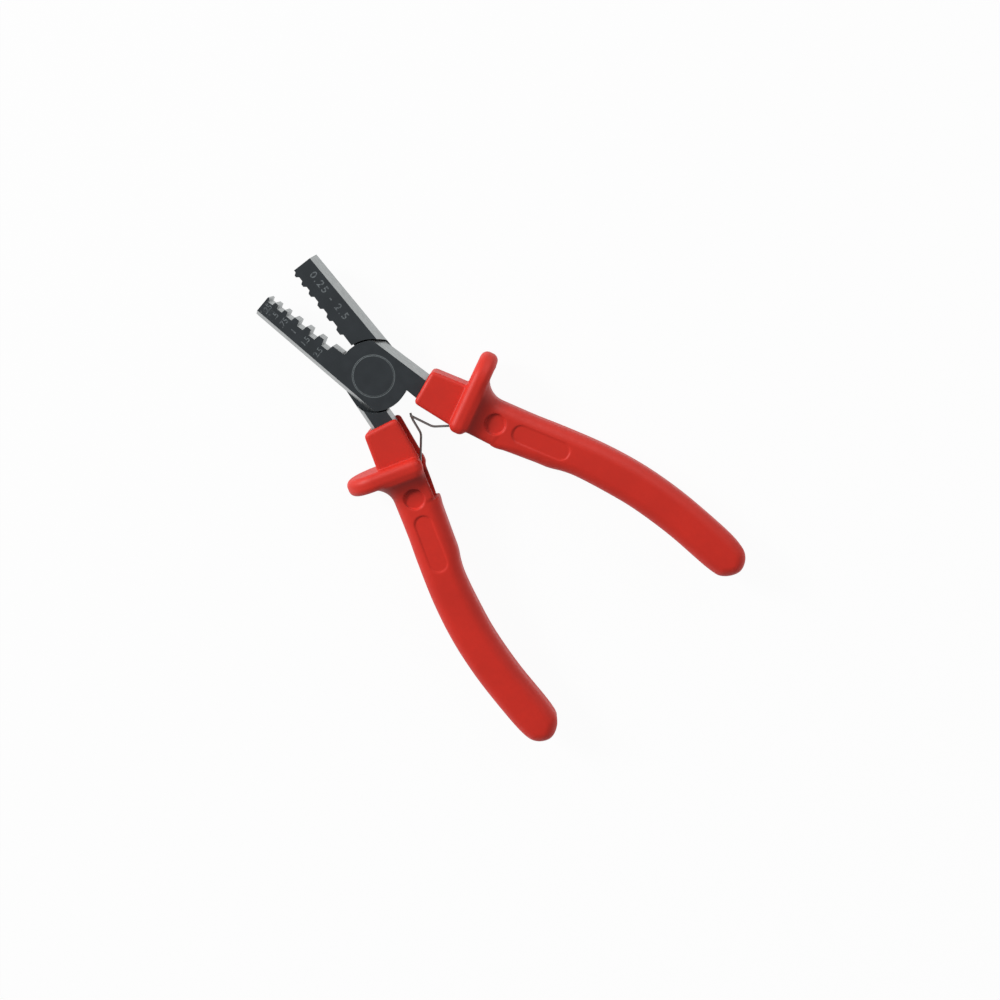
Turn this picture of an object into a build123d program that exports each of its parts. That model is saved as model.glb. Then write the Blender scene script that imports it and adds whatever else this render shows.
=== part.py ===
from build123d import *
import os
from math import cos, radians, sin, tan

# Crimping pliers, open on the pull of their two hooked wires. Millimetres.
# The rivet's axis is Z, the back of the steel is z = 0, and the jaws point along +X.
# The two forgings lap over each other at the rivet. The front one carries the cavities, the back one
# the punches, and each is the other turned over about its own long axis, apart from its jaw.

# ---- forgings ----
steel_thickness = 8.0
disc_radius = 9.9             # the round lap joint
shoulder_clearance = 0.45     # between a disc and the hollow shoulders that it turns in
lap_gap = 0.06                # between the two discs, face to face
rest_lean = 6.0               # each forging leans this far out from the centre line when open, degrees
bevel_width = 1.55            # how far the ridge of an outer side stands out past the face
jaw_reach = 36.0              # rivet to the tip of the jaws
jaw_root = 10.0               # where the inner line of a jaw meets the disc
front_line_offset = 0.15      # inner line of the front jaw, from the rivet
front_line_angle = 3.8        # and its lean against the forging, degrees
back_line_offset = 0.35
back_line_angle = 0.0
front_back_offset = 7.3       # outer edge of the front jaw's face, from the rivet
front_back_angle = 0.0
back_back_offset = 7.35
back_back_angle = -2.3
neck_outer_offset = 7.86      # outer edge of the neck's face, from the rivet
neck_outer_angle = 4.0
neck_inner_offset = 2.9       # inner edge of the neck, from the rivet
neck_inner_angle = 1.4

# ---- dies, from the tip to the rivet: distance from the rivet, width of the mouth, depth ----
dies = [
    (34.5, 1.9, 1.0),
    (31.4, 2.2, 1.1),
    (28.1, 2.4, 1.2),
    (24.1, 2.6, 1.5),
    (20.0, 2.7, 1.65),
    (15.45, 3.0, 1.8),
]
cavity_draft = 14.0           # lean of a cavity's sides, degrees
punch_height = 0.75
punch_clearance = 0.12        # between a punch and the mouth of its cavity, each side
punch_draft = 36.0

# ---- rivet ----
rivet_head_radius = 5.8
rivet_head_height = 2.0
rivet_shank_radius = 3.5
running_clearance = 0.05      # radial, where the front half turns on the rivet
rivet_edge = 0.18             # small chamfers that show the head as a ring

# ---- tangs, inside the grips: centre points from the neck to the end, in the forging's own plane ----
tang_thickness = 6.0
tang_width = 5.2
tang_points = [(-12.0, -7.6), (-30.0, -11.9), (-50.0, -17.7), (-70.0, -23.9), (-92.0, -26.7)]
bend_point = (-15.6, -8.0)    # where a tang is bent against its forging
front_bend = 0.0              # degrees, minus is towards the other tang
back_bend = -1.6

# ---- grips ----
grip_thickness = 11.5
handle_round = 3.6            # rounding of the handle's long edges
collar_round = 0.9
mouth_corner_round = 1.2
neck_cover = 0.8              # how far the neck stands in the grip's mouth
mouth_inner = (-13.2, -1.85)
mouth_outer = (-11.2, -12.05)
collar_outer_angle = 18.8     # lean of the collar's outer side, degrees
tongue_line = [(-25.5, -3.8), (-29.0, -5.25), (-37.6, -7.75)]
handle_inner = [(-27.0, -3.6), (-38.0, -6.85), (-41.7, -8.35), (-50.0, -11.25), (-54.0, -12.65), (-57.8, -14.55),
                (-62.0, -16.05), (-70.0, -17.95), (-80.0, -19.8), (-93.0, -20.85), (-108.0, -20.95)]
handle_end = [(-112.8, -22.2), (-115.4, -26.4), (-113.6, -30.6)]
handle_outer = [(-109.0, -32.35), (-98.0, -32.65), (-86.0, -32.25), (-74.0, -30.8), (-62.0, -28.05), (-50.0, -24.2),
                (-42.0, -21.35), (-31.8, -18.1)]
slot_width = 7.5              # channel in the inner side, for the spring wire
slot_depth = 2.4
flare_round = 6.0             # hollow between the handle and its guard
recess_depth = 0.7
round_recess = (-34.25, -12.4)
round_recess_radius = 2.95
long_recess_start = (-41.6, -15.0)
long_recess_end = (-53.0, -18.8)
long_recess_width = 5.0

# ---- guards ----
guard_thickness = 5.1
guard_half_height = 8.3       # above and below the middle of the grip
guard_start = (-27.3, -3.64)  # inner end of the guard's middle line
guard_lean = 16.1             # lean of the guard against the cross direction, degrees
guard_inner_end = -0.65       # past guard_start, towards the other grip
guard_reach = 23.65           # from guard_start to the round outer end
guard_rim_round = 2.2
guard_inner_corner = 3.2

# ---- spring wires: bends from the grip to the hook, in the forging's own plane ----
wire_radius = 0.28
wire_bend = 0.9
wire_pass = 0.36              # each wire passes this far from the middle, one over the other
wire_fit = 0.02               # radial, in the socket that holds its root
root_points = [(-41.5, -10.5), (-36.0, -8.8), (-29.1, -6.6)]
front_wire_points = root_points + [(-21.8, 0.4), (-16.05, 1.9)]
back_wire_points = root_points + [(-21.3, 0.05), (-16.35, 0.75), (-14.85, 1.35)]

middle = steel_thickness / 2
shoulder_radius = disc_radius + shoulder_clearance
grip_back = middle - grip_thickness / 2

# ---- where each forging lies: its own plane has u along its axis, v outwards, and height from its own back ----
lean_x = cos(radians(rest_lean))
lean_y = sin(radians(rest_lean))
front_place = Plane(origin=(0, 0, 0), x_dir=(lean_x, lean_y, 0), z_dir=(0, 0, 1))
back_place = Plane(origin=(0, 0, steel_thickness), x_dir=(lean_x, -lean_y, 0), z_dir=(0, 0, -1))


def bent(angle):
    """The move that a bend of the tang gives the tang, the grip and the wire, in the forging's own plane."""
    there = Location((bend_point[0], bend_point[1], 0))
    return there * Location((0, 0, 0), (0, 0, angle)) * there.inverse()


def point_on(offset, angle, distance):
    """A point of the line that passes the rivet at offset and leans by angle, at distance along the forging."""
    return (distance, offset + distance * tan(radians(angle)))


def along(offset, angle, distance, depth):
    """A point at distance along a jaw's inner line, and depth into the jaw from it."""
    lean = radians(angle)
    side = offset + depth
    return (distance * cos(lean) - side * sin(lean), distance * sin(lean) + side * cos(lean))


def die_line(offset, angle, bumps):
    """A jaw's inner line from the disc to the tip, with each die's four corners given as distance and depth."""
    points = [along(offset, angle, jaw_root * 0.8, 0)]
    for distance, base, crest, depth in bumps:
        for across, down in ((-base, 0), (-crest, depth), (crest, depth), (base, 0)):
            points.append(along(offset, angle, distance + across, down))
    points.append(along(offset, angle, jaw_reach, 0))
    return points


def cavity_line(offset, angle):
    """The front jaw's inner line, with a cavity at each die."""
    narrowing = tan(radians(cavity_draft))
    bumps = [(place, width / 2, width / 2 - depth * narrowing, depth) for place, width, depth in reversed(dies)]
    return die_line(offset, angle, bumps)


def punch_line(offset, angle):
    """The back jaw's inner line, with a punch at each die."""
    narrowing = punch_clearance + punch_height * tan(radians(punch_draft))
    bumps = [
        (place, width / 2 - punch_clearance, width / 2 - narrowing, -punch_height)
        for place, width, depth in reversed(dies)
    ]
    return die_line(offset, angle, bumps)


def half_plan(inner_line):
    """A half seen from its face, out past its bevelled sides: jaw, disc and neck."""
    wide = disc_radius + bevel_width + shoulder_clearance
    neck_corner = mouth_inner[0] - neck_cover
    with BuildSketch(Plane.XY) as plan:
        Circle(disc_radius)
        with BuildLine():
            Polyline([(0, 0)] + inner_line + [(inner_line[-1][0], wide), (0, wide)], close=True)
        make_face()
        with BuildLine():
            Polyline(
                (0, 0),
                point_on(-neck_inner_offset, neck_inner_angle, -disc_radius * 0.8),
                point_on(-neck_inner_offset, neck_inner_angle, neck_corner),
                (mouth_outer[0] - neck_cover, mouth_outer[1]),
                (0, -wide),
                close=True,
            )
        make_face()
    return plan.sketch


def side_strip(height, stand_out, outer_offset, outer_angle):
    """The strip between a half's two outer sides at one height, long enough to pass both its ends."""
    far = jaw_reach * 1.3
    near = 3 * mouth_inner[0]
    with BuildSketch(Plane.XY.offset(height)) as strip:
        with BuildLine():
            Polyline(
                point_on(outer_offset + stand_out, outer_angle, near),
                point_on(outer_offset + stand_out, outer_angle, far),
                point_on(-neck_outer_offset - stand_out, neck_outer_angle, far),
                point_on(-neck_outer_offset - stand_out, neck_outer_angle, near),
                close=True,
            )
        make_face()
    return strip.sketch


def tang():
    """The bar inside the grip, of even width along its centre points."""
    with BuildPart() as bar:
        with BuildSketch(Plane.XY.offset(middle - tang_thickness / 2)):
            with BuildLine() as centre:
                Spline(tang_points)
            trace(centre.wires(), line_width=tang_width)
        extrude(amount=tang_thickness)
    return bar.part


def half(inner_line, outer_offset, outer_angle, bend):
    """One forging without its rivet hole: bevelled outer sides, a disc of half the thickness, and a tang."""
    with BuildPart() as forging:
        levels = ((0, 0), (middle, bevel_width), (steel_thickness, 0))
        loft([side_strip(height, out, outer_offset, outer_angle) for height, out in levels], ruled=True)
        extrude(half_plan(inner_line), amount=steel_thickness, mode=Mode.INTERSECT)
        with BuildSketch(Plane.XY):
            Circle(shoulder_radius)
        extrude(amount=middle + lap_gap / 2, mode=Mode.SUBTRACT)
        with Locations(bent(bend)):
            add(tang())
    return forging.part


def wire(points):
    """A spring wire through its bends, just above the middle of the forging."""
    with BuildPart() as spring:
        with BuildLine(Plane.XY.offset(middle + wire_pass)) as path:
            FilletPolyline(points, radius=wire_bend)
        with BuildSketch(Plane(origin=path.wire() @ 0, z_dir=path.wire() % 0)):
            Circle(wire_radius)
        sweep(path=path.wire())
    return spring.part


def tongue_edge():
    """The inner side of the collar and of the tongue behind it, from the mouth."""
    return [mouth_inner] + tongue_line


def collar():
    """The collar and the tongue behind it, which carries the slot as far as the round handle."""
    end = tongue_line[-1]
    reach = guard_start[0]
    side = mouth_outer[1] + (reach - mouth_outer[0]) * tan(radians(collar_outer_angle))
    with BuildPart() as sleeve:
        with BuildSketch(Plane.XY.offset(grip_back)) as plan:
            with BuildLine():
                Polyline(*tongue_edge(), (end[0], end[1] - slot_depth * 2), (reach, side), mouth_outer, close=True)
            make_face()
            fillet(plan.vertices().sort_by(Axis.X)[-2:], radius=mouth_corner_round)
        extrude(amount=grip_thickness)
        flats = sleeve.faces().filter_by(Axis.Z)
        fillet(flats.edges(), radius=collar_round)
    return sleeve.part


def handle():
    """The handle, flared into its guard on the outer side, and cut back where the tongue runs."""
    lean = radians(guard_lean)
    reach = guard_reach - flare_round / 2
    flare_end = (
        guard_start[0] - guard_thickness / 2 * cos(lean) + reach * sin(lean),
        guard_start[1] - guard_thickness / 2 * sin(lean) - reach * cos(lean),
    )
    clear = slot_depth * 2
    edge = tongue_edge()
    with BuildPart() as grip:
        with BuildSketch(Plane.XY.offset(grip_back)):
            with BuildLine():
                side = Spline(handle_inner + handle_end + handle_outer)
                flare = TangentArc(side @ 1, flare_end, tangent=side % 1)
                Polyline(flare @ 1, (flare_end[0] + guard_thickness / 2, flare_end[1]), side @ 0)
            make_face()
        extrude(amount=grip_thickness)
        sides = [edge for edge in grip.edges() if edge.geom_type != GeomType.LINE]
        fillet(sides, radius=handle_round)
        with BuildSketch(Plane.XY.offset(grip_back)):
            with BuildLine():
                Polyline((0, clear), (edge[-1][0], clear), *reversed(edge), (0, edge[0][1]), close=True)
            make_face()
        extrude(amount=grip_thickness, mode=Mode.SUBTRACT)
    return grip.part


def guard():
    """The finger guard: a plate across the grip, round at its outer end and around its rim."""
    lean = radians(guard_lean)
    outward = (sin(lean), -cos(lean), 0)
    forward = (cos(lean), sin(lean), 0)
    straight = guard_reach - guard_half_height + guard_inner_end
    with BuildPart() as plate:
        with BuildSketch(Plane(origin=guard_start + (middle,), x_dir=outward, z_dir=forward)) as face:
            with Locations((straight / 2 - guard_inner_end, 0)):
                Rectangle(straight, 2 * guard_half_height)
            fillet(face.vertices().sort_by(Axis((0, 0, 0), outward))[:2], radius=guard_inner_corner)
            with Locations((guard_reach - guard_half_height, 0)):
                Circle(guard_half_height)
        extrude(amount=guard_thickness / 2, both=True)
        rims = plate.faces().filter_by(Axis((0, 0, 0), forward))
        fillet(rims.edges(), radius=min(guard_rim_round, 0.45 * guard_thickness))
    return plate.part


def moulding():
    """A grip before its tang is cut out: collar, tongue, round handle and guard, slot, wire socket, recesses."""
    edge = tongue_edge()
    floor = [(u, v - slot_depth) for u, v in reversed(edge)]
    run_start = Vector(*root_points[0], middle + wire_pass)
    run_end = Vector(*root_points[1], middle + wire_pass)
    long_start = Vector(*long_recess_start)
    long_run = Vector(*long_recess_end) - long_start
    with BuildPart() as whole:
        add(handle())
        add(collar())
        add(guard())
        with BuildSketch(Plane.XY.offset(middle - slot_width / 2)):
            with BuildLine():
                Polyline((0, slot_depth), (edge[-1][0], slot_depth), *floor, (0, floor[-1][1]), close=True)
            make_face()
        extrude(amount=slot_width, mode=Mode.SUBTRACT)
        with BuildSketch(Plane(origin=run_start, z_dir=run_end - run_start)):
            Circle(wire_radius + wire_fit)
        extrude(amount=(run_end - run_start).length, mode=Mode.SUBTRACT)
        for height in (grip_back, grip_back + grip_thickness):
            with BuildSketch(Plane.XY.offset(height)):
                with Locations(round_recess):
                    Circle(round_recess_radius)
                with Locations(long_start + long_run * 0.5):
                    turn = long_run.get_signed_angle(Vector(-1, 0))
                    SlotCenterToCenter(long_run.length, long_recess_width, rotation=turn)
            extrude(amount=recess_depth, both=True, mode=Mode.SUBTRACT)
    return whole.part


# ---- front half: turns on the rivet ----
with BuildPart() as front_half:
    front_line = cavity_line(front_line_offset, front_line_angle)
    with Locations(front_place):
        add(half(front_line, front_back_offset, front_back_angle, front_bend))
    with Locations((0, 0, steel_thickness)):
        CounterBoreHole(
            radius=rivet_shank_radius + running_clearance,
            counter_bore_radius=rivet_head_radius + running_clearance,
            counter_bore_depth=rivet_head_height + running_clearance,
            depth=steel_thickness,
        )

# ---- back half: holds the rivet ----
with BuildPart() as back_half:
    back_line = punch_line(back_line_offset, back_line_angle)
    with Locations(back_place):
        add(half(back_line, back_back_offset, back_back_angle, back_bend))
    with Locations(Location((0, 0, 0), (180, 0, 0))):
        CounterBoreHole(
            radius=rivet_shank_radius,
            counter_bore_radius=rivet_head_radius,
            counter_bore_depth=rivet_head_height,
            depth=steel_thickness,
        )

# ---- pivot rivet ----
with BuildPart() as pivot_rivet:
    for foot in (0, steel_thickness - rivet_head_height):
        with BuildSketch(Plane.XY.offset(foot)):
            Circle(rivet_head_radius)
        extrude(amount=rivet_head_height)
    with BuildSketch(Plane.XY):
        Circle(rivet_shank_radius)
    extrude(amount=steel_thickness)
    head_edges = pivot_rivet.edges().group_by(Axis.Z)
    chamfer(head_edges[0] + head_edges[-1], length=rivet_edge)

front_tang_place = front_place.location * bent(front_bend)
back_tang_place = back_place.location * bent(back_bend)

# ---- spring wires ----
with BuildPart() as front_spring:
    with Locations(front_tang_place):
        add(wire(front_wire_points))

with BuildPart() as back_spring:
    with Locations(back_tang_place):
        add(wire(back_wire_points))

# ---- grips: one moulding, the back one turned over ----
grip_moulding = moulding()

with BuildPart() as front_grip:
    with Locations(front_tang_place):
        add(grip_moulding)
    add(front_half.part, mode=Mode.SUBTRACT)

with BuildPart() as back_grip:
    with Locations(back_tang_place):
        add(grip_moulding)
    add(back_half.part, mode=Mode.SUBTRACT)

pieces = {
    "front_half": front_half,
    "back_half": back_half,
    "pivot_rivet": pivot_rivet,
    "front_grip": front_grip,
    "back_grip": back_grip,
    "front_spring": front_spring,
    "back_spring": back_spring,
}
os.makedirs("parts", exist_ok=True)
for label, piece in pieces.items():
    piece.part.label = label
    export_step(piece.part, f"parts/{label}.step")
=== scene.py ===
"""Looks of the crimping pliers: softened forgings, moulded grips, hooked wires, size marks and a studio.

Lengths inside this script are millimetres in the forging's own plane (u along it, v outwards, h above the
middle of the steel) and become metres in the frame's axes when a mesh is made.
"""

from math import atan2, cos, pi, radians, sin
from typing import NamedTuple

import bmesh
import bpy
import numpy as np
from bpy.props import FloatProperty, FloatVectorProperty, PointerProperty
from bpy.types import Operator, Panel, PropertyGroup
from mathutils import Matrix, Vector


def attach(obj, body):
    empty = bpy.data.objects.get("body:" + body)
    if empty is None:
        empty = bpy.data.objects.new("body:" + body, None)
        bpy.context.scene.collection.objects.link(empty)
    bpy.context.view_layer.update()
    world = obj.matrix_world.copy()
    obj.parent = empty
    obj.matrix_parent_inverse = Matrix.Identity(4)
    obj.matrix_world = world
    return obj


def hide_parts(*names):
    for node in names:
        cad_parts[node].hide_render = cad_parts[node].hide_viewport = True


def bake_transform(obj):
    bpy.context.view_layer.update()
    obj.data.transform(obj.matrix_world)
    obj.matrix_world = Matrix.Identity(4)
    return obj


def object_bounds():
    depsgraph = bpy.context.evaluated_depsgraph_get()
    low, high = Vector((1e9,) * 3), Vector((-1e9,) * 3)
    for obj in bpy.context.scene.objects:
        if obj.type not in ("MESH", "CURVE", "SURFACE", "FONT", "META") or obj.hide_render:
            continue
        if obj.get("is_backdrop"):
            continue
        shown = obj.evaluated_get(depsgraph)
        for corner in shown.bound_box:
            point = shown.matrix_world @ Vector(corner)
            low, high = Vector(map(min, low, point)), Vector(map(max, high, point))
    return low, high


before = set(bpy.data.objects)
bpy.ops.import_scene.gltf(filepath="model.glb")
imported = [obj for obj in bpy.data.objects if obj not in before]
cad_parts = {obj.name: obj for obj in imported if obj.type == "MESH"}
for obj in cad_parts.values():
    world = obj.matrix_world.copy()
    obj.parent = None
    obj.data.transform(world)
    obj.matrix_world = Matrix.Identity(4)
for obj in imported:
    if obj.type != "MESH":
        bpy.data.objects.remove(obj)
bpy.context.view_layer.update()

bl_info = {
    "name": "Crimping Pliers",
    "version": (1, 0, 0),
    "blender": (4, 5, 0),
    "location": "3D View > Sidebar > Pliers",
    "description": "Builds the visible crimping pliers and their studio around the packed frame",
    "category": "Object",
}

MM = 0.001
WHITE = (1, 1, 1, 1)
FRONT_SIDE = "front_side"
BACK_SIDE = "back_side"

# ---- steel: each half's lean at rest, and each tang's bend about its bend point, in degrees ----
STEEL_THICKNESS = 8.0
MIDDLE = STEEL_THICKNESS / 2
REST_LEAN = 6.0
BEND_POINT = (-15.6, -8.0)
FRONT_BEND = 0.0
BACK_BEND = -1.6

# ---- grip outlines, as in the CAD moulding ----
HANDLE_INNER = [
    (-27.0, -3.6), (-38.0, -6.85), (-41.7, -8.35), (-50.0, -11.25), (-54.0, -12.65), (-57.8, -14.55),
    (-62.0, -16.05), (-70.0, -17.95), (-80.0, -19.8), (-93.0, -20.85), (-108.0, -20.95),
]
HANDLE_END = [(-112.8, -22.2), (-115.4, -26.4), (-113.6, -30.6)]
HANDLE_OUTER = [
    (-109.0, -32.35), (-98.0, -32.65), (-86.0, -32.25), (-74.0, -30.8), (-62.0, -28.05),
    (-50.0, -24.2), (-42.0, -21.35), (-31.8, -18.1),
]
MOUTH_INNER = (-13.2, -1.85)
MOUTH_OUTER = (-11.2, -12.05)
TONGUE_LINE = [(-25.5, -3.8), (-29.0, -5.25), (-37.6, -7.75)]
COLLAR_BACK = (-27.3, -17.53)
GUARD_START = (-27.3, -3.64)
GUARD_LEAN = 16.1
GUARD_REACH = 23.65
GUARD_THICKNESS = 5.1
FLARE_END = (-24.02, -24.19)
FLARE_BACK = (-21.47, -24.19)
GUARD_HALF_HEIGHT = 8.29
GUARD_TIP_ROUND = GUARD_HALF_HEIGHT - 0.01
SLOT_HALF_WIDTH = 3.75
SLOT_DEPTH = 2.4
ROUND_RECESS = (-34.25, -12.4)
ROUND_RECESS_RADIUS = 2.95
LONG_RECESS = ((-41.6, -15.0), (-53.0, -18.8))
LONG_RECESS_RADIUS = 2.5
GRIP_HALF_THICKNESS = 5.75
GRIP_BOX = ((-117.5, -35.0, -9.1), (-10.0, 1.0, 9.1))
CLEAR_OF_GRIP = 5


class GuardFit(NamedTuple):
    """How one grip's guard and slot differ from the moulding that both grips share."""

    slide: float  # towards the jaws
    turn: float  # further lean, in degrees
    inner: float  # its inner end, out from the guard's start
    wall_rise: float  # how much higher the slot's visible wall stands


FRONT_GUARD = GuardFit(slide=0.0, turn=0.0, inner=-0.4, wall_rise=1.0)
BACK_GUARD = GuardFit(slide=-0.65, turn=1.2, inner=0.55, wall_rise=0.0)

# ---- the moulding's blends: a FADE is the distance over which something comes or goes ----
CROWN_FADE = 7
SWELL_END = 22.5
SWELL_FADE = 7
WALL_START = -50
WALL_FADE = 11
WALL_FOOT = (-27, -13)
WALL_FOOT_SLOPE = 0.22
WALL_FOOT_FADE = 3
WALL_SHARPENING = 1.8
WALL_RISE_FADE = 7
TONGUE_FADE = 8
SLOT_ROUND = 0.8
ROUND_RECESS_EDGE = 0.3
LONG_RECESS_EDGE = 0.35
LONG_RECESS_SHALLOWING = 0.45
# painted shade: where the corner behind each guard is darkened in the plastic's colour, standing in for the
# guard's shadow
PAINTED_SHADE_OVERLAP = 0.7
PAINTED_SHADE_FADE = 1.4
PAINTED_SHADE_REACH = 8.5
PAINTED_SHADE_END = 19
PAINTED_SHADE_END_FADE = 7

# ---- meshing: passes that settle the skin, the step they measure a slope over, and its least square ----
SKIN_PASSES = 2
SLOPE_STEP = 0.02
LEAST_SLOPE_SQUARED = 0.3
WEAR_ANGLE = 24
FLAT_ANGLE = 0.5

# ---- wires: bends from the grip to the hook, which rises out of the plane that the wire runs in ----
WIRE_RADIUS = 0.34
WIRE_PASS = 0.36
WIRE_STATION = 0.8
ROOT_POINTS = [(-41.5, -10.5), (-36.0, -8.8), (-29.1, -6.6)]
FRONT_WIRE = ROOT_POINTS + [(-21.8, 0.4), (-16.05, 1.9)]
FRONT_HOOK = [(-14.95, 2.2, 0.22)]
BACK_WIRE = ROOT_POINTS + [(-21.3, 0.05), (-16.35, 0.75), (-14.85, 1.35)]
WIRE_BEND = 0.9

# ---- size figures: the text, and where its middle lies along the forging ----
DIE_FIGURES = [(".25", 34.0), (".5", 31.2), (".75", 28.2), ("1", 24.6), ("1.5", 20.4), ("2.5", 15.8)]
DIE_FIGURES_ACROSS = 5.1
RANGE_FIGURES = ("0.25 - 2.5", 24.8, 3.85)
RANGE_SPACING = 1.3
FIGURE_BOLDNESS = 0.012

# ---- forged steel: where each finish begins and where it is full ----
GROUND_FACES = (0.93, 0.85)  # how level the face is
UPRIGHT_FACES = (0.3, 0.1)
JOINT_EDGE = (0.0108, 0.0104)  # metres from the rivet's axis
RIVET_HEAD_RADIUS = 0.0058
RIVET_RING = (0.0003, 0.00018)  # metres from the rivet head's edge
BEYOND_RING = (0.0003, 0.0004)
TIP_WEAR_ALONG = (0.029, 0.0365)
TIP_WEAR_ACROSS = (0, 0.002)
GRAIN_STRETCH = (0.35, 0.35, 2.2)

# ---- noise values between which a finish goes from none to full ----
SOFT_NOISE = (0.3, 0.7)
CRISP_NOISE = (0.35, 0.65)

# ---- studio, in metres and watts ----
FLOOR_REACH = 1.6
FLOOR_GAP = 0.0002
FLOOR_WHITENESS = 0.955
ROOM_LIGHT = 0.27
CEILING_HEIGHTS = (0.1, 0.85)
CEILING_SHADE = 0.2
LAMPS = (
    ("key_lamp", (1.6, 0.56, 1.0), 0.6, 31.0),
    ("side_lamp", (0.4, -1.38, 0.9), 0.9, 7.0),
)

# ---- camera, in millimetres ----
SENSOR_WIDTH = 36.0
CAMERA_LENS = 47.16
CAMERA_EYE = (0.76, -56.58, 372.0)
CAMERA_TARGET = (-49.72, -2.04, 8.0)
CAMERA_UP = (0.7211, -0.6635, -0.1994)


# ---------------------------------------------------------------- places
def front_place():
    """The front forging's own plane in the frame, in millimetres."""
    return Matrix.Translation((0, 0, MIDDLE)) @ Matrix.Rotation(radians(REST_LEAN), 4, "Z")


def back_place():
    """The back forging's plane: the front one turned over about the pliers' long axis."""
    turned = Matrix.Rotation(pi, 4, "X") @ Matrix.Rotation(radians(REST_LEAN), 4, "Z")
    return Matrix.Translation((0, 0, MIDDLE)) @ turned


def bent(angle):
    """The bend of a tang against its forging."""
    point = Vector((*BEND_POINT, 0))
    return Matrix.Translation(point) @ Matrix.Rotation(radians(angle), 4, "Z") @ Matrix.Translation(-point)


def in_metres(place):
    """A place in millimetres, made to give metres."""
    return Matrix.Scale(MM, 4) @ place


# ---------------------------------------------------------------- distances, for the moulded shapes
def smooth_run(points, steps=8):
    """Points of an even curve through the given points."""
    p = np.array(points, float)
    ends = np.vstack([2 * p[0] - p[1], p, 2 * p[-1] - p[-2]])
    t = (np.arange(steps) / steps)[:, None]
    run = []
    for a, b, c, d in zip(ends[:-3], ends[1:-2], ends[2:-1], ends[3:]):
        square, cube = 2 * a - 5 * b + 4 * c - d, 3 * b - a - 3 * c + d
        run.append(0.5 * (2 * b + (c - a) * t + square * t**2 + cube * t**3))
    return np.vstack(run + [p[-1:]])


def tangent_arc(start, heading, end, steps=14):
    """Points of the arc that leaves start along heading and reaches end."""
    start, end, heading = np.array(start, float), np.array(end, float), np.array(heading, float)
    normal = np.array((-heading[1], heading[0])) / np.hypot(*heading)
    chord = end - start
    radius = chord @ chord / (2 * chord @ normal)
    centre = start + normal * radius
    first, last = atan2(*(start - centre)[::-1]), atan2(*(end - centre)[::-1])
    sweep = (last - first + pi) % (2 * pi) - pi
    angles = first + sweep * np.linspace(0, 1, steps)
    return centre + abs(radius) * np.stack((np.cos(angles), np.sin(angles)), 1)


def eased(points, radius, steps=5):
    """A run of points with each corner between its ends replaced by a short even bend."""
    p = np.array(points, float)
    run = [p[0]]
    for before, corner, after in zip(p[:-2], p[1:-1], p[2:]):
        to_before, to_after = before - corner, after - corner
        long_before, long_after = np.linalg.norm(to_before), np.linalg.norm(to_after)
        reach = min(radius, long_before / 2, long_after / 2)
        a, b = corner + to_before / long_before * reach, corner + to_after / long_after * reach
        for t in np.linspace(0, 1, steps + 1):
            run.append((1 - t) ** 2 * a + 2 * t * (1 - t) * corner + t**2 * b)
    return np.array(run + [p[-1]])


def outline_distance(points, u, v):
    """Distance to a closed outline, below zero inside it."""
    nearest = np.full(np.broadcast(u, v).shape, np.inf, np.float32)
    inside = np.zeros(nearest.shape, bool)
    corners = np.asarray(points, float)
    for (x0, y0), (x1, y1) in zip(corners, np.roll(corners, -1, axis=0)):
        along, across = x1 - x0, y1 - y0
        du, dv = u - x0, v - y0
        t = np.clip((du * along + dv * across) / (along * along + across * across), 0, 1)
        nearest = np.minimum(nearest, (du - along * t) ** 2 + (dv - across * t) ** 2)
        if y0 != y1:
            inside ^= ((y0 > v) != (y1 > v)) & (du < along * dv / across)
    return np.where(inside, -1, 1) * np.sqrt(nearest)


def slab(flat, height, half, rounding):
    """A flat shape given its thickness, with rounded edges."""
    side, top = flat + rounding, np.abs(height) - (half - rounding)
    return np.hypot(np.maximum(side, 0), np.maximum(top, 0)) + np.minimum(np.maximum(side, top), 0) - rounding


def join(a, b, fillet):
    """Two shapes as one, with a hollow fillet where they meet."""
    ga, gb = np.maximum(fillet - a, 0), np.maximum(fillet - b, 0)
    return np.maximum(fillet, np.minimum(a, b)) - np.hypot(ga, gb)


def cut(a, b, rounding):
    """The first shape without the second, with the new edges rounded."""
    ga, gb = np.maximum(rounding + a, 0), np.maximum(rounding - b, 0)
    return np.minimum(-rounding, np.maximum(a, -b)) + np.hypot(ga, gb)


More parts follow.
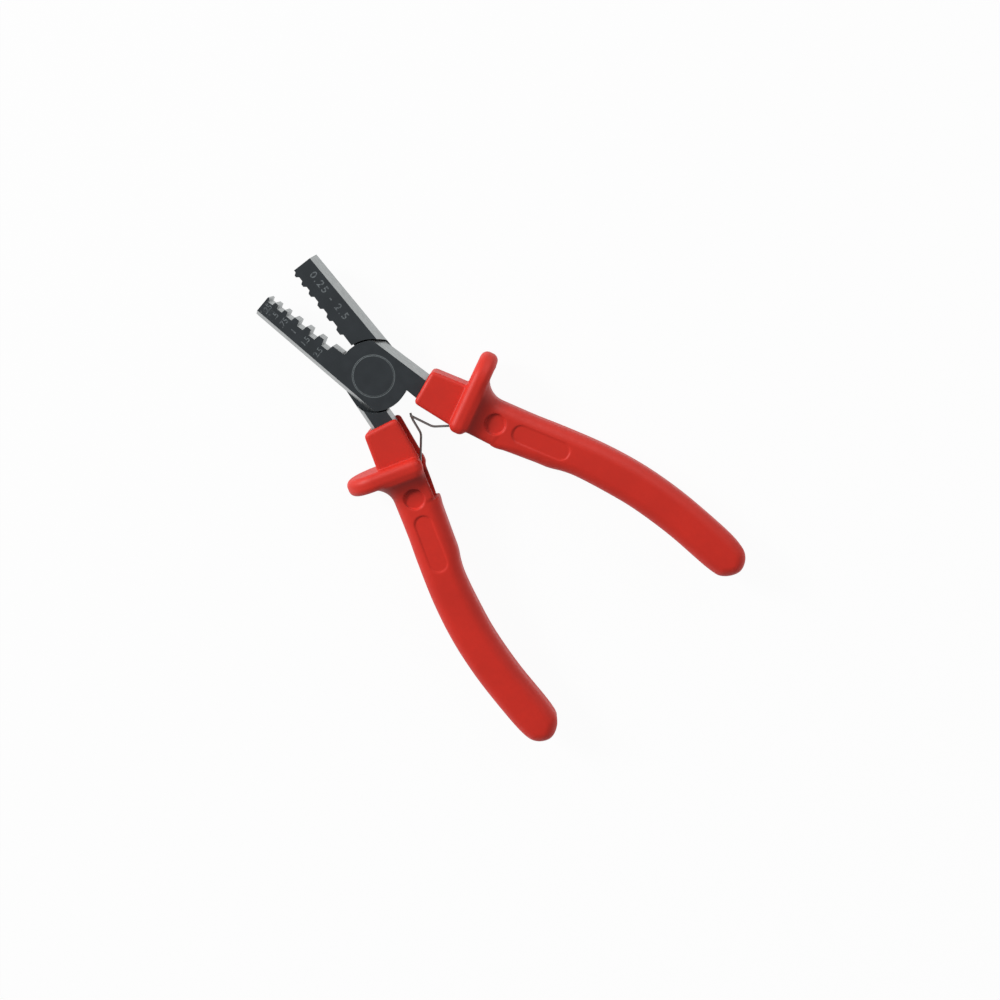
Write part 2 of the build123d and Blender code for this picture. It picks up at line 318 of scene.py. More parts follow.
class GripField:
    """The grip's moulding as a distance from its surface."""

    def __init__(self, sizes, far_side, guard):
        self.sizes = sizes
        self.far_side = far_side
        self.guard_slide, self.guard_turn, self.guard_inner, self.wall_rise = guard
        end = TONGUE_LINE[-1]
        tongue = [MOUTH_INNER] + TONGUE_LINE
        side = smooth_run(HANDLE_INNER + HANDLE_END + HANDLE_OUTER)
        flare = tangent_arc(side[-1], side[-1] - side[-2], FLARE_END)
        lean = radians(GUARD_LEAN)
        ahead = np.array((cos(lean), sin(lean))) * GUARD_THICKNESS
        self.handle = np.vstack([side, flare[1:], [FLARE_BACK, FLARE_BACK + ahead, side[0] + ahead]])
        clear = CLEAR_OF_GRIP
        self.above_tongue = [(clear, clear), (end[0], clear)] + tongue[::-1] + [(clear, MOUTH_INNER[1])]
        mouth = eased([COLLAR_BACK, MOUTH_OUTER, MOUTH_INNER, TONGUE_LINE[0]], sizes.mouth_corner / MM)
        self.collar = np.vstack([mouth, TONGUE_LINE[1:], [(end[0], end[1] - 2 * SLOT_DEPTH)]])
        floor = [(u, v - SLOT_DEPTH) for u, v in reversed(tongue)]
        self.slot = [(clear, clear), (end[0], clear)] + floor + [(clear, floor[-1][1])]

    def guard(self, u, v, h):
        """The guard's distance, and how far a point is ahead of its middle and out from its inner end."""
        lean = radians(GUARD_LEAN + self.guard_turn)
        du, dv = u - GUARD_START[0], v - GUARD_START[1]
        out, ahead = du * sin(lean) - dv * cos(lean), du * cos(lean) + dv * sin(lean) - self.guard_slide
        half_reach = (GUARD_REACH - self.guard_inner) / 2
        out = out - self.guard_inner - half_reach
        corner = np.where(out > 0, GUARD_TIP_ROUND, self.sizes.guard_corner / MM)
        qa, qb = np.abs(out) - half_reach + corner, np.abs(h) - GUARD_HALF_HEIGHT + corner
        flat = np.hypot(np.maximum(qa, 0), np.maximum(qb, 0)) + np.minimum(np.maximum(qa, qb), 0) - corner
        rim = self.sizes.guard_rim / MM
        return slab(flat, ahead, GUARD_THICKNESS / 2, rim), ahead, out + half_reach

    def near_guard(self, ahead, reach):
        """1 at the guard's back face, falling to 0 at a distance behind it."""
        return np.clip(1 + (ahead + GUARD_THICKNESS / 2) / reach, 0, 1)

    def painted_shade_share(self, u, v, h):
        """How much painted shade darkens the corner behind the guard, standing in for the guard's shadow."""
        _, ahead, out = self.guard(u, v, h)
        behind = np.clip(-(ahead + GUARD_THICKNESS / 2 - PAINTED_SHADE_OVERLAP) / PAINTED_SHADE_FADE, 0, 1)
        return behind * self.near_guard(ahead, PAINTED_SHADE_REACH) * np.clip((PAINTED_SHADE_END - out) / PAINTED_SHADE_END_FADE, 0, 1)

    def handle_with_guard(self, u, v, h):
        """The handle, swelling towards its guard and cut down to the slot's walls."""
        sizes = self.sizes
        flat = outline_distance(self.handle, u, v)
        guard, ahead, out = self.guard(u, v, h)
        crown = sizes.handle_crown / MM * np.clip(1 + flat / CROWN_FADE, 0, 1) ** 2
        rise = self.near_guard(ahead, sizes.fairing_length / MM)
        full = np.clip((SWELL_END - out) / SWELL_FADE, 0, 1)
        swell = sizes.fairing_height / MM * rise**2 * full**2 * (3 - 2 * full)
        visible = h * self.far_side < 0
        above_foot = v - WALL_FOOT[1] - WALL_FOOT_SLOPE * (u - WALL_FOOT[0])
        by_slot = np.clip((u - WALL_START) / WALL_FADE, 0, 1) * np.clip(above_foot / WALL_FOOT_FADE, 0, 1)
        crisper = self.wall_rise * by_slot * visible
        handle_round = sizes.handle_round / MM - WALL_SHARPENING * crisper
        handle = slab(flat, np.abs(h) + crown - swell, GRIP_HALF_THICKNESS, handle_round)
        handle = np.maximum(handle, ahead)
        above = outline_distance(self.above_tongue, u, v)
        raised = np.clip((TONGUE_LINE[1][0] - u) / WALL_RISE_FADE, 0, 1) * visible
        handle = cut(handle, above + self.wall_rise * raised, sizes.collar_round / MM)
        return join(handle, guard, sizes.guard_fillet / MM)

    def __call__(self, u, v, h):
        sizes = self.sizes
        body = self.handle_with_guard(u, v, h)
        softer = np.clip((TONGUE_LINE[1][0] - u) / TONGUE_FADE, 0, 1) ** 2 * (h * self.far_side > 0)
        rounding = (sizes.collar_round + (sizes.tongue_round - sizes.collar_round) * softer) / MM
        collar = slab(outline_distance(self.collar, u, v), h, GRIP_HALF_THICKNESS, rounding)
        body = join(body, collar, sizes.collar_fillet / MM)
        slot = np.maximum(outline_distance(self.slot, u, v), np.abs(h) - SLOT_HALF_WIDTH)
        body = cut(body, slot, SLOT_ROUND)
        deep = np.hypot(u - ROUND_RECESS[0], v - ROUND_RECESS[1]) - ROUND_RECESS_RADIUS
        deep = np.maximum(deep, GRIP_HALF_THICKNESS - sizes.round_recess_depth / MM - np.abs(h))
        body = cut(body, deep, ROUND_RECESS_EDGE)
        (u0, v0), (u1, v1) = LONG_RECESS
        run, rise = u1 - u0, v1 - v0
        t = np.clip(((u - u0) * run + (v - v0) * rise) / (run * run + rise * rise), 0, 1)
        shallow = np.hypot(u - u0 - t * run, v - v0 - t * rise) - LONG_RECESS_RADIUS
        depth = sizes.long_recess_depth / MM * (1 - LONG_RECESS_SHALLOWING * t)
        shallow = np.maximum(shallow, GRIP_HALF_THICKNESS - depth - np.abs(h))
        return cut(body, shallow, LONG_RECESS_EDGE)


def skin(field, low, high, step):
    """Vertices and four-sided faces of the surface where a field is zero."""
    axes = [np.arange(a, b + step, step) for a, b in zip(low, high)]
    u, v, h = axes[0][:, None, None], axes[1][None, :, None], axes[2][None, None, :]
    value = np.asarray(np.broadcast_to(field(u, v, h), [len(a) for a in axes]), np.float32)

    # one vertex in every cell that the surface passes through, amid its crossings of the cell's edges
    corner = [(i, j, k) for i in (0, 1) for j in (0, 1) for k in (0, 1)]
    cells = tuple(n - 1 for n in value.shape)

    def at(i, j, k):
        return value[i:i + cells[0], j:j + cells[1], k:k + cells[2]]

    solid = [at(*c) < 0 for c in corner]
    active = np.logical_or.reduce(solid) & ~np.logical_and.reduce(solid)
    index = np.full(cells, -1)
    place = np.argwhere(active)
    index[active] = np.arange(len(place))
    total, count = np.zeros((len(place), 3)), np.zeros(len(place))
    for a in corner:
        for axis in range(3):
            if a[axis]:
                continue
            b = tuple(1 if n == axis else a[n] for n in range(3))
            fa, fb = at(*a)[active], at(*b)[active]
            crossing = (fa < 0) != (fb < 0)
            share = np.where(crossing, fa / np.where(crossing, fa - fb, 1), 0)
            point = np.array(a, float) + share[:, None] * np.eye(3)[axis]
            total += point * crossing[:, None]
            count += crossing
    points = (place + total / count[:, None]) * step + np.array([a[0] for a in axes])

    # one face round every grid edge that the surface crosses
    faces = []
    for axis in range(3):
        near = [slice(None)] * 3
        far = [slice(None)] * 3
        near[axis], far[axis] = slice(0, -1), slice(1, None)
        a, b = value[tuple(near)] < 0, value[tuple(far)] < 0
        for leaving in (True, False):
            edges = np.argwhere((a & ~b) if leaving else (b & ~a))
            j, k = (axis + 1) % 3, (axis + 2) % 3
            ring = []
            for dj, dk in ((1, 1), (0, 1), (0, 0), (1, 0)):
                cell = edges.copy()
                cell[:, j] -= dj
                cell[:, k] -= dk
                ring.append(index[tuple(cell.T)])
            quad = np.stack(ring, 1)
            faces.append(quad if leaving else quad[:, ::-1])

    # every vertex drawn onto the surface, along the field's slope
    for _ in range(SKIN_PASSES):
        columns = [points[:, n] for n in range(3)]
        value_here = field(*columns)
        slope = np.zeros_like(points)
        for n in range(3):
            moved = list(columns)
            moved[n] = moved[n] + SLOPE_STEP
            slope[:, n] = (field(*moved) - value_here) / SLOPE_STEP
        size = np.maximum((slope**2).sum(1), LEAST_SLOPE_SQUARED)
        points -= np.clip(value_here / size, -step / 2, step / 2)[:, None] * slope
    return points, np.vstack(faces)


def wire_run(points, hook):
    """Close stations along a wire, through rounded bends and round the hook at its end."""
    bends = eased([(u, v, WIRE_PASS) for u, v in points] + hook, WIRE_BEND)
    run = []
    for a, b in zip(bends[:-1], bends[1:]):
        count = max(1, round(np.linalg.norm(b - a) / WIRE_STATION))
        run.extend(a + (b - a) * n / count for n in range(count))
    return run + [bends[-1]]


# ---------------------------------------------------------------- meshes
def linked(name, data):
    """A new object in the scene."""
    made = bpy.data.objects.new(name, data)
    bpy.context.scene.collection.objects.link(made)
    return made


def clad(mesh, material):
    """Makes a material the only one of a mesh."""
    mesh.materials.clear()
    mesh.materials.append(material)


def shown_mesh(helper):
    """The mesh that a helper object shows, which is then removed."""
    bpy.context.view_layer.update()
    mesh = bpy.data.meshes.new_from_object(helper.evaluated_get(bpy.context.evaluated_depsgraph_get()))
    bpy.data.objects.remove(helper)
    return mesh


def piece_from(name, points, faces, material, smooth=True):
    """A new object from points in metres."""
    mesh = bpy.data.meshes.new(name)
    mesh.from_pydata([tuple(p) for p in points], [], [tuple(int(i) for i in f) for f in faces])
    clad(mesh, material)
    if smooth:
        mesh.shade_smooth()
    return linked(name, mesh)


def softened_copy(node, name, width, material):
    """A copy of a CAD node with its sharp edges worn round."""
    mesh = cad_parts[node].data.copy()
    mesh.name = name
    clad(mesh, material)
    shape = bmesh.new()
    shape.from_mesh(mesh)
    bmesh.ops.remove_doubles(shape, verts=shape.verts, dist=1e-6)
    bmesh.ops.dissolve_limit(shape, angle_limit=radians(FLAT_ANGLE), verts=shape.verts, edges=shape.edges)
    shape.to_mesh(mesh)
    shape.free()
    mesh.shade_smooth()
    helper = linked(name + "_sharp", mesh)
    wear = helper.modifiers.new("wear", "BEVEL")
    wear.width = width
    wear.segments = 2
    wear.limit_method = "ANGLE"
    wear.angle_limit = radians(WEAR_ANGLE)
    even = helper.modifiers.new("even", "WEIGHTED_NORMAL")
    even.weight = 100
    worn = shown_mesh(helper)
    worn.name = name
    return linked(name, worn)


def wire_piece(name, node, stations, material):
    """A round wire through stations in metres."""
    curve = bpy.data.curves.new(node + "_run", "CURVE")
    curve.dimensions = "3D"
    spline = curve.splines.new("POLY")
    spline.points.add(len(stations) - 1)
    for knot, station in zip(spline.points, stations):
        knot.co = (*station, 1)
    curve.bevel_depth = WIRE_RADIUS * MM
    curve.bevel_resolution = 3
    curve.use_fill_caps = True
    mesh = shown_mesh(linked(node + "_holder", curve))
    clad(mesh, material)
    mesh.shade_smooth()
    return linked(name, mesh)


def figures(name, text, size, rise, middle, across, up, material, spacing=1.0):
    """Plain figures lying on a face, centred at middle, reading along across with their tops towards up."""
    curve = bpy.data.curves.new(name, "FONT")
    curve.body = text
    curve.size = size
    curve.align_x = "CENTER"
    curve.align_y = "CENTER"
    curve.extrude = rise
    curve.space_character = spacing
    curve.resolution_u = 4
    curve.offset = size * FIGURE_BOLDNESS
    helper = linked(name + "_text", curve)
    turn = Matrix((across, up, across.cross(up))).transposed().to_4x4()
    helper.matrix_world = Matrix.Translation(middle) @ turn
    bpy.context.view_layer.update()
    place = helper.matrix_world.copy()
    mesh = shown_mesh(helper)
    mesh.transform(place)
    mesh.name = name
    clad(mesh, material)
    return linked(name, mesh)


# ---------------------------------------------------------------- materials
class NodeTree:
    """A node tree that is filled one node at a time."""

    def __init__(self, tree):
        self.nodes = tree.nodes
        self.links = tree.links

    def put(self, value, socket):
        """Links a socket to another one, or sets it to a value."""
        if isinstance(value, bpy.types.NodeSocket):
            self.links.new(value, socket)
        else:
            socket.default_value = value

    def spread(self, value, low, high, to_low=0.0, to_high=1.0):
        """A value that goes from to_low to to_high as the given one goes from low to high."""
        node = self.nodes.new("ShaderNodeMapRange")
        self.put(value, node.inputs["Value"])
        node.inputs["From Min"].default_value = low
        node.inputs["From Max"].default_value = high
        node.inputs["To Min"].default_value = to_low
        node.inputs["To Max"].default_value = to_high
        return node.outputs["Result"]

    def between(self, share, none, full):
        """A value that goes from none to full as a share goes from 0 to 1."""
        return self.spread(share, 0, 1, none, full)

    def math(self, kind, a, b=0.0):
        node = self.nodes.new("ShaderNodeMath")
        node.operation = kind
        self.put(a, node.inputs[0])
        self.put(b, node.inputs[1])
        return node.outputs["Value"]

    def mix_shaders(self, share, a, b):
        node = self.nodes.new("ShaderNodeMixShader")
        self.put(share, node.inputs["Fac"])
        self.links.new(a, node.inputs[1])
        self.links.new(b, node.inputs[2])
        return node.outputs["Shader"]


class Finish(NodeTree):
    """A material's nodes."""

    def __init__(self, name):
        self.material = bpy.data.materials.new(name)
        self.material.use_nodes = True
        super().__init__(self.material.node_tree)
        self.shader = self.nodes["Principled BSDF"]
        self.place = self.nodes.new("ShaderNodeTexCoord").outputs["Object"]

    def noise(self, size, detail=3.0, rough=0.5, vector=None):
        node = self.nodes.new("ShaderNodeTexNoise")
        node.inputs["Scale"].default_value = 1 / size
        node.inputs["Detail"].default_value = detail
        node.inputs["Roughness"].default_value = rough
        self.links.new(vector or self.place, node.inputs["Vector"])
        return node.outputs["Fac"]

    def blend(self, share, a, b):
        node = self.nodes.new("ShaderNodeMix")
        node.data_type = "RGBA"
        self.put(share, node.inputs["Factor"])
        self.put(a, node.inputs["A"])
        self.put(b, node.inputs["B"])
        return node.outputs["Result"]

    def stretched(self, scale):
        node = self.nodes.new("ShaderNodeMapping")
        node.inputs["Scale"].default_value = scale
        self.links.new(self.place, node.inputs["Vector"])
        return node.outputs["Vector"]

    def bump(self, height, distance, strength=1.0):
        node = self.nodes.new("ShaderNodeBump")
        node.inputs["Distance"].default_value = distance
        node.inputs["Strength"].default_value = strength
        self.put(height, node.inputs["Height"])
        self.links.new(node.outputs["Normal"], self.shader.inputs["Normal"])


def tint(colour, share):
    """A lighter or darker version of a colour."""
    return tuple(c * share for c in colour[:3]) + (1.0,)


def forged_steel(colours):
    """Blackened faces, with bevels, die walls and worn edges ground bright."""
    finish = Finish("forged_steel")
    nodes, links = finish.nodes, finish.links
    normal = nodes.new("ShaderNodeSeparateXYZ")
    links.new(nodes.new("ShaderNodeNewGeometry").outputs["Normal"], normal.inputs["Vector"])
    level = finish.math("ABSOLUTE", normal.outputs["Z"])
    place = nodes.new("ShaderNodeSeparateXYZ")
    links.new(finish.place, place.inputs["Vector"])
    squares = [finish.math("MULTIPLY", place.outputs[axis], place.outputs[axis]) for axis in "XY"]
    radius = finish.math("SQRT", finish.math("ADD", *squares))
    speckle = finish.noise(size=0.0012, detail=4.0, rough=0.6)
    uneven = finish.spread(speckle, *SOFT_NOISE, -0.03, 0.03)
    ground = finish.spread(finish.math("ADD", level, uneven), *GROUND_FACES)
    upright = finish.spread(level, *UPRIGHT_FACES)
    in_joint = finish.math("MULTIPLY", finish.spread(radius, *JOINT_EDGE), upright)
    bright = finish.math("MULTIPLY", ground, finish.math("SUBTRACT", 1.0, in_joint))
    grain = finish.noise(size=0.0006, detail=5.0, rough=0.65, vector=finish.stretched(GRAIN_STRETCH))
    cloud = finish.spread(finish.noise(size=0.004), *CRISP_NOISE)
    black = finish.blend(cloud, tint(colours.blackened, 0.92), tint(colours.blackened, 1.08))
    streak = finish.spread(grain, *SOFT_NOISE)
    grey = finish.blend(streak, tint(colours.ground, 0.8), tint(colours.ground, 1.12))
    off_rivet = finish.math("ABSOLUTE", finish.math("SUBTRACT", radius, RIVET_HEAD_RADIUS))
    bright = finish.math("MULTIPLY", bright, finish.spread(off_rivet, *BEYOND_RING))
    black = finish.blend(finish.spread(off_rivet, *RIVET_RING, 0, 0.9), black, tint(colours.mark, 0.85))
    near_tip = finish.math(
        "MULTIPLY",
        finish.spread(place.outputs["X"], *TIP_WEAR_ALONG),
        finish.spread(place.outputs["Y"], *TIP_WEAR_ACROSS),
    )
    chips = finish.spread(finish.noise(size=0.0006, detail=4.0, rough=0.7), 0.56, 0.64, 0, 0.8)
    black = finish.blend(finish.math("MULTIPLY", near_tip, chips), black, tint(colours.ground, 0.5))
    finish.put(finish.blend(bright, black, grey), finish.shader.inputs["Base Color"])
    finish.put(finish.between(bright, 0.0, 0.9), finish.shader.inputs["Metallic"])
    finish.shader.inputs["Specular IOR Level"].default_value = 0.3
    rough = finish.blend(bright, (0.46, 0.46, 0.46, 1), (0.42, 0.42, 0.42, 1))
    finish.put(rough, finish.shader.inputs["Roughness"])
    texture = finish.math("ADD", finish.math("MULTIPLY", grain, 0.7), speckle)
    finish.bump(texture, distance=0.00001, strength=0.5)
    return finish.material


def moulded_plastic(colours):
    """Tough red plastic with a faint orange peel, slightly uneven pigment and painted shade behind the
    guards.
    """
    finish = Finish("moulded_plastic")
    cloud = finish.spread(finish.noise(size=0.012, detail=3.0, rough=0.55), *CRISP_NOISE)
    fine = finish.spread(finish.noise(size=0.0016, detail=4.0, rough=0.6), *SOFT_NOISE)
    base = finish.blend(cloud, tint(colours.grip, 0.95), tint(colours.grip, 1.05))
    base = finish.blend(finish.math("MULTIPLY", fine, 0.35), base, tint(colours.grip, 0.9))
    # painted shade: the grip's colour is darkened towards a deep red in the corners behind the guards,
    # standing in for the guards' shadow
    painted_shade = finish.nodes.new("ShaderNodeAttribute")
    painted_shade.attribute_name = "painted_shade"
    painted_shade_share = finish.math("MULTIPLY", painted_shade.outputs["Fac"], finish.between(cloud, 0.62, 0.72))
    base = finish.blend(painted_shade_share, base, tint(colours.grip, 0.12))
    finish.put(base, finish.shader.inputs["Base Color"])
    finish.put(finish.between(fine, 0.48, 0.56), finish.shader.inputs["Roughness"])
    finish.shader.inputs["Specular IOR Level"].default_value = 0.4
    finish.bump(finish.noise(size=0.0009, detail=3.0, rough=0.5), distance=0.00001, strength=0.5)
    return finish.material


def drawn_wire(colours):
    """Bright spring wire, a little dull from drawing."""
    finish = Finish("drawn_wire")
    streak = finish.spread(finish.noise(size=0.0005, detail=3.0, rough=0.6), *SOFT_NOISE)
    base = finish.blend(streak, tint(colours.wire, 0.8), tint(colours.wire, 1.15))
    finish.put(base, finish.shader.inputs["Base Color"])
    finish.shader.inputs["Metallic"].default_value = 0.5
    finish.put(finish.between(streak, 0.32, 0.44), finish.shader.inputs["Roughness"])
    finish.bump(finish.noise(size=0.0002, detail=2.0, rough=0.5), distance=0.000004, strength=0.4)
    return finish.material


def etched_mark(colours):
    """Pale etched figures, worn in places down to the blackening."""
    finish = Finish("etched_mark")
    wear = finish.spread(finish.noise(size=0.0005, detail=4.0, rough=0.7), 0.42, 0.6)
    base = finish.blend(wear, tint(colours.blackened, 1.5), tint(colours.mark, 1.0))
    finish.put(base, finish.shader.inputs["Base Color"])
    finish.shader.inputs["Roughness"].default_value = 0.6
    finish.bump(finish.noise(size=0.0003, detail=2.0, rough=0.5), distance=0.000005, strength=0.5)
    return finish.material


def white_unless_shaded(name, colour, whiteness):
    """A pale surface that the eye and reflections see as nearly white, and that still takes a shadow."""
    finish = Finish(name)
    grain = finish.spread(finish.noise(size=0.05), *SOFT_NOISE)
    finish.put(finish.blend(grain, tint(colour, 0.99), tint(colour, 1.0)), finish.shader.inputs["Base Color"])
    finish.shader.inputs["Roughness"].default_value = 0.9
    finish.shader.inputs["Specular IOR Level"].default_value = 0.0
    rays = finish.nodes.new("ShaderNodeLightPath").outputs
    seen = finish.math("MAXIMUM", rays["Is Camera Ray"], rays["Is Glossy Ray"])
    seen = finish.math("MAXIMUM", seen, rays["Is Transmission Ray"])
    glow = finish.nodes.new("ShaderNodeEmission")
    glow.inputs["Color"].default_value = WHITE
    share = finish.math("MULTIPLY", seen, whiteness)
    surface = finish.mix_shaders(share, finish.shader.outputs["BSDF"], glow.outputs["Emission"])
    finish.links.new(surface, finish.nodes["Material Output"].inputs["Surface"])
    return finish.material


# ---------------------------------------------------------------- studio
def white_room():
    """A soft even light that looks white, and that polished things reflect darker towards the ceiling."""
    world = bpy.data.worlds.new("studio")
    world.use_nodes = True
    room = NodeTree(world.node_tree)
    soft = room.nodes["Background"]
    soft.inputs["Color"].default_value = WHITE
    soft.inputs["Strength"].default_value = ROOM_LIGHT
    white = room.nodes.new("ShaderNodeBackground")
    white.inputs["Color"].default_value = WHITE
    reflected = room.nodes.new("ShaderNodeBackground")
    height = room.nodes.new("ShaderNodeSeparateXYZ")
    room.links.new(room.nodes.new("ShaderNodeTexCoord").outputs["Generated"], height.inputs["Vector"])
    ceiling = room.spread(height.outputs["Z"], *CEILING_HEIGHTS, 1.0, CEILING_SHADE)
    ceiling.node.interpolation_type = "SMOOTHSTEP"
    room.links.new(ceiling, reflected.inputs["Strength"])
    rays = room.nodes.new("ShaderNodeLightPath").outputs
    lit = room.mix_shaders(rays["Is Glossy Ray"], soft.outputs["Background"], reflected.outputs["Background"])
    direct = room.math("MAXIMUM", rays["Is Camera Ray"], rays["Is Transmission Ray"])
    sky = room.mix_shaders(direct, lit, white.outputs["Background"])
    room.links.new(sky, room.nodes["World Output"].inputs["Surface"])
    return world


def viewpoint():
    """The camera, turned to its target."""
    camera = bpy.data.cameras.new("camera")
    camera.sensor_width = SENSOR_WIDTH
    camera.lens = CAMERA_LENS
    camera.clip_start = 0.01
    eye, target = Vector(CAMERA_EYE) * MM, Vector(CAMERA_TARGET) * MM
    ahead = (target - eye).normalized()
    side = ahead.cross(Vector(CAMERA_UP)).normalized()
    turn = Matrix((side, side.cross(ahead), -ahead)).transposed().to_4x4()
    holder = linked("camera", camera)
    holder.matrix_world = Matrix.Translation(eye) @ turn
    return holder


# ---------------------------------------------------------------- what a user may change
def colour_property(name, description, default):
    return FloatVectorProperty(
        name=name, description=description, default=default, size=3, min=0.0, max=1.0, subtype="COLOR"
    )


def length_property(name, description, default):
    return FloatProperty(
        name=name, description=description, default=default, min=0.0, precision=5,
        subtype="DISTANCE", unit="LENGTH",
    )


class PliersColours(PropertyGroup):
    """Colours of the finishes, as linear light."""

    blackened: colour_property("Blackened", "Blackened faces of the steel", (0.036, 0.042, 0.047))
    ground: colour_property("Ground", "Ground bevels, die walls and worn edges", (0.42, 0.44, 0.44))
    grip: colour_property("Grip", "Moulded plastic of the grips", (0.7, 0.027, 0.014))
    wire: colour_property("Wire", "Spring wires", (0.31, 0.31, 0.3))
    mark: colour_property("Marks", "Etched size figures", (0.2, 0.225, 0.235))
    floor: colour_property("Floor", "Pale studio floor", (0.8, 0.8, 0.8))


class PliersSizes(PropertyGroup):
    """Sizes of the softened shapes."""

    edge_wear: length_property("Edge wear", "Rounding of the steel's sharp edges", 0.0001)
    handle_round: length_property("Handle rounding", "Rounding of the handles' long edges", 0.0036)
    handle_crown: length_property("Handle crown", "How far the handles' flat faces are domed", 0.0003)
    guard_rim: length_property("Guard rim", "Rounding around the guards", 0.0021)
    guard_corner: length_property("Guard corner", "Rounding of the guards' inner corners", 0.0023)
    fairing_length: length_property("Fairing length", "How far the handle rises behind a guard", 0.0062)
    fairing_height: length_property("Fairing height", "How high the handle rises to a guard", 0.002)
    guard_fillet: length_property("Guard fillet", "Small hollow all round a guard", 0.0005)
    mouth_corner: length_property("Mouth corners", "Rounding of the collars' mouth corners", 0.0014)
    collar_round: length_property("Collar rounding", "Rounding of the collars' edges", 0.0011)
    tongue_round: length_property("Tongue rounding", "Rounding of the tongues' edges by the handles", 0.0026)
    collar_fillet: length_property("Collar fillet", "Hollow between a collar and its guard", 0.0003)
    round_recess_depth: length_property("Round recess", "Depth of the round recess", 0.0007)
    long_recess_depth: length_property("Long recess", "Depth of the long recess", 0.0004)
    grip_grid: length_property("Grip mesh", "Size of the faces of the moulded grips", 0.0003)
    die_figures: length_property("Die figures", "Letter size of the figures beside the dies", 0.0023)
    range_figures: length_property("Range figures", "Letter size of the range on the back jaw", 0.003)
    figure_rise: length_property("Figure rise", "How far the figures stand above the face", 0.00002)


def settings():
    """The sizes and the colours that the panel shows."""
    return bpy.context.scene.pliers_sizes, bpy.context.scene.pliers_colours


FINISHES = {}


def finish_named(name, maker):
    """One material of each finish, shared by its pieces."""
    if name not in FINISHES:
        FINISHES[name] = maker(settings()[1])
    return FINISHES[name]


# ---------------------------------------------------------------- operators
class PLIERS_OT_forgings(Operator):
    """Makes the two forged halves with worn edges"""

    bl_idname = "pliers.forgings"
    bl_label = "Forgings"

    def execute(self, context):
        sizes, _ = settings()
        steel = finish_named("forged", forged_steel)
        for node, body in (("front_half", FRONT_SIDE), ("back_half", BACK_SIDE)):
            piece = softened_copy(node, node.replace("half", "forging"), sizes.edge_wear, steel)
            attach(piece, body)
            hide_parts(node)
        return {"FINISHED"}


class PLIERS_OT_rivet(Operator):
    """Finishes the rivet"""

    bl_idname = "pliers.rivet"
    bl_label = "Rivet"

    def execute(self, context):
        clad(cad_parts["pivot_rivet"].data, finish_named("forged", forged_steel))
        return {"FINISHED"}


class PLIERS_OT_grips(Operator):
    """Moulds the grips with their guards"""

    bl_idname = "pliers.grips"
    bl_label = "Grips"

    def execute(self, context):
        sizes, _ = settings()
        step = sizes.grip_grid / MM * 1
        plastic = finish_named("plastic", moulded_plastic)
        for node, body, far_side, guard, place in (
            ("front_grip", FRONT_SIDE, -1, FRONT_GUARD, front_place() @ bent(FRONT_BEND)),
            ("back_grip", BACK_SIDE, 1, BACK_GUARD, back_place() @ bent(BACK_BEND)),
        ):
            field = GripField(sizes, far_side, guard)
            points, faces = skin(field, *GRIP_BOX, step)
            matrix = np.array(in_metres(place))
            moved = points @ matrix[:3, :3].T + matrix[:3, 3]
            piece = piece_from(node.replace("grip", "moulding"), moved, faces, plastic)
            # painted shade: how far each vertex's colour is darkened behind the guard, standing in for its
            # shadow
            painted_shade = piece.data.attributes.new("painted_shade", "FLOAT", "POINT")
            painted_shade.data.foreach_set("value", field.painted_shade_share(*points.T).astype(np.float32))
            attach(piece, body)
            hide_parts(node)
        return {"FINISHED"}


class PLIERS_OT_springs(Operator):
    """Bends the two hooked spring wires"""

    bl_idname = "pliers.springs"
    bl_label = "Spring wires"

    def execute(self, context):
        wire = finish_named("wire", drawn_wire)
        for node, points, hook, place, own, other in (
            ("front_spring", FRONT_WIRE, FRONT_HOOK, front_place() @ bent(FRONT_BEND), FRONT_SIDE, BACK_SIDE),
            ("back_spring", BACK_WIRE, [], back_place() @ bent(BACK_BEND), BACK_SIDE, FRONT_SIDE),
        ):
            matrix = in_metres(place)
            stations = [matrix @ Vector(point) for point in wire_run(points, hook)]
            piece = wire_piece(node.replace("spring", "wire"), node, stations, wire)
            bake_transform(piece)
            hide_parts(node)
        return {"FINISHED"}


class PLIERS_OT_figures(Operator):
    """Etches the size figures beside the dies and the range on the back jaw"""

    bl_idname = "pliers.figures"
    bl_label = "Size figures"

    def execute(self, context):
        sizes, _ = settings()
        material = finish_named("mark", etched_mark)
        face = STEEL_THICKNESS * MM
        front, back = front_place(), back_place()
        along = front.to_3x3() @ Vector((1, 0, 0))
        outwards = front.to_3x3() @ Vector((0, 1, 0))
        for number, (text, distance) in enumerate(DIE_FIGURES, 1):
            middle = in_metres(front) @ Vector((distance, DIE_FIGURES_ACROSS, 0))
            middle.z = face
            name = "die_figures_%d" % number
            piece = figures(
                name, text, sizes.die_figures, sizes.figure_rise, middle, -outwards, along, material
            )
            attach(piece, FRONT_SIDE)
        along = back.to_3x3() @ Vector((1, 0, 0))
        outwards = back.to_3x3() @ Vector((0, 1, 0))
        text, distance, offset = RANGE_FIGURES
        middle = in_metres(back) @ Vector((distance, offset, 0))
        middle.z = face
        piece = figures(
            "range_figures", text, sizes.range_figures, sizes.figure_rise, middle, -along, outwards, material,
            spacing=RANGE_SPACING,
        )
        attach(piece, BACK_SIDE)
        return {"FINISHED"}


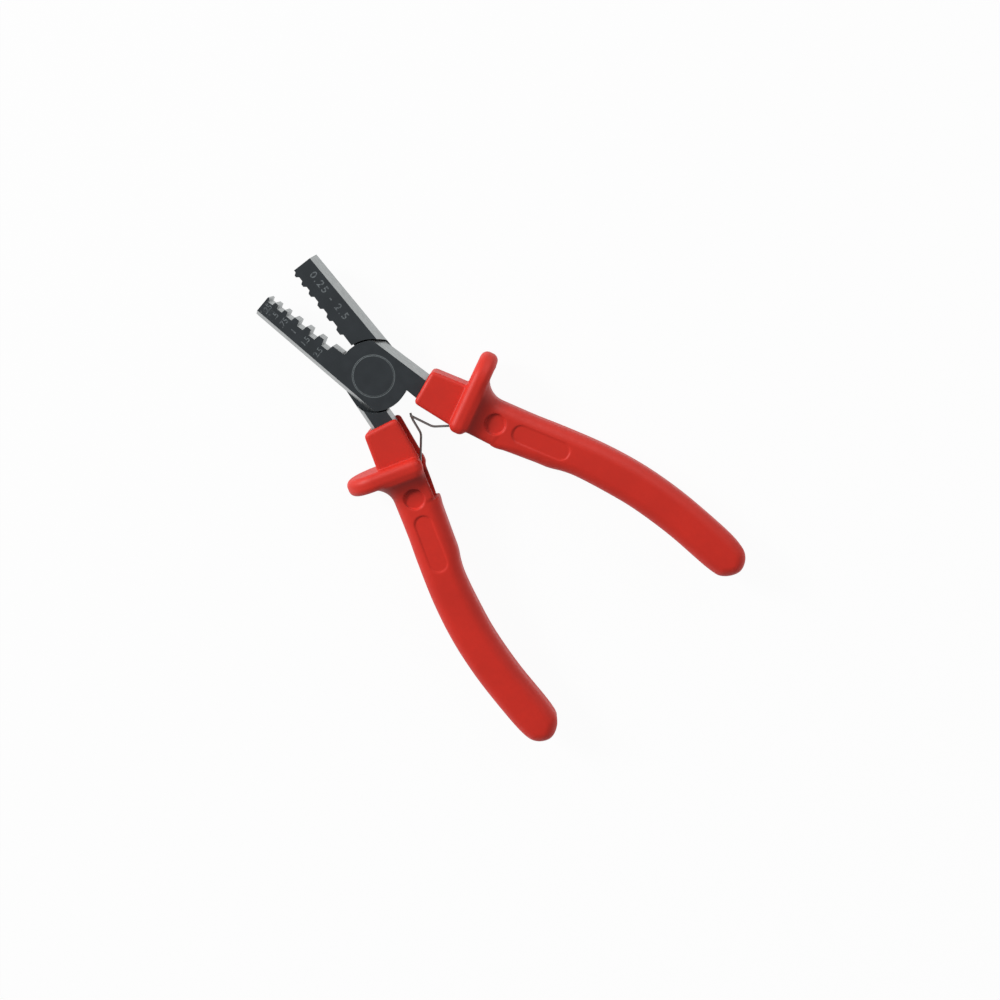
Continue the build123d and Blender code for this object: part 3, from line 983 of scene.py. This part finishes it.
class PLIERS_OT_stage(Operator):
    """Sets up the floor, the lamps, the world and the camera"""

    bl_idname = "pliers.stage"
    bl_label = "Studio"

    def execute(self, context):
        _, colours = settings()
        scene = context.scene
        low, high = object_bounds()
        centre = (Vector(low) + Vector(high)) / 2
        corners = [
            (centre.x + a * FLOOR_REACH, centre.y + b * FLOOR_REACH, low[2] - FLOOR_GAP)
            for a, b in ((-1, -1), (1, -1), (1, 1), (-1, 1))
        ]
        pale = white_unless_shaded("studio_floor", (*colours.floor, 1), FLOOR_WHITENESS)
        floor = piece_from("floor", corners, [(0, 1, 2, 3)], pale, smooth=False)
        floor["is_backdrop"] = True

        scene.world = white_room()
        for name, place, width, power in LAMPS:
            lamp = bpy.data.lights.new(name, "AREA")
            lamp.shape = "SQUARE"
            lamp.size = width
            lamp.energy = power
            holder = linked(name, lamp)
            holder.location = place
            aim = centre - Vector(place)
            holder.rotation_euler = aim.to_track_quat("-Z", "Y").to_euler()

        scene.camera = viewpoint()
        scene.view_settings.view_transform = "Standard"
        return {"FINISHED"}


class PLIERS_PT_panel(Panel):
    """Lists the pieces and what may be changed"""

    bl_idname = "PLIERS_PT_panel"
    bl_label = "Crimping Pliers"
    bl_space_type = "VIEW_3D"
    bl_region_type = "UI"
    bl_category = "Pliers"

    def draw(self, context):
        layout = self.layout
        for group in (context.scene.pliers_sizes, context.scene.pliers_colours):
            for name in group.__annotations__:
                layout.prop(group, name)
        for operator in OPERATORS:
            layout.operator(operator.bl_idname)


OPERATORS = (
    PLIERS_OT_forgings,
    PLIERS_OT_rivet,
    PLIERS_OT_grips,
    PLIERS_OT_springs,
    PLIERS_OT_figures,
    PLIERS_OT_stage,
)
CLASSES = (PliersColours, PliersSizes) + OPERATORS + (PLIERS_PT_panel,)


def register():
    for cls in CLASSES:
        bpy.utils.register_class(cls)
    bpy.types.Scene.pliers_colours = PointerProperty(type=PliersColours)
    bpy.types.Scene.pliers_sizes = PointerProperty(type=PliersSizes)


def unregister():
    del bpy.types.Scene.pliers_sizes
    del bpy.types.Scene.pliers_colours
    for cls in reversed(CLASSES):
        bpy.utils.unregister_class(cls)


def main():
    """Builds every piece and the studio."""
    register()
    bpy.ops.pliers.forgings()
    bpy.ops.pliers.rivet()
    bpy.ops.pliers.grips()
    bpy.ops.pliers.springs()
    bpy.ops.pliers.figures()
    bpy.ops.pliers.stage()


if __name__ == "__main__":
    main()
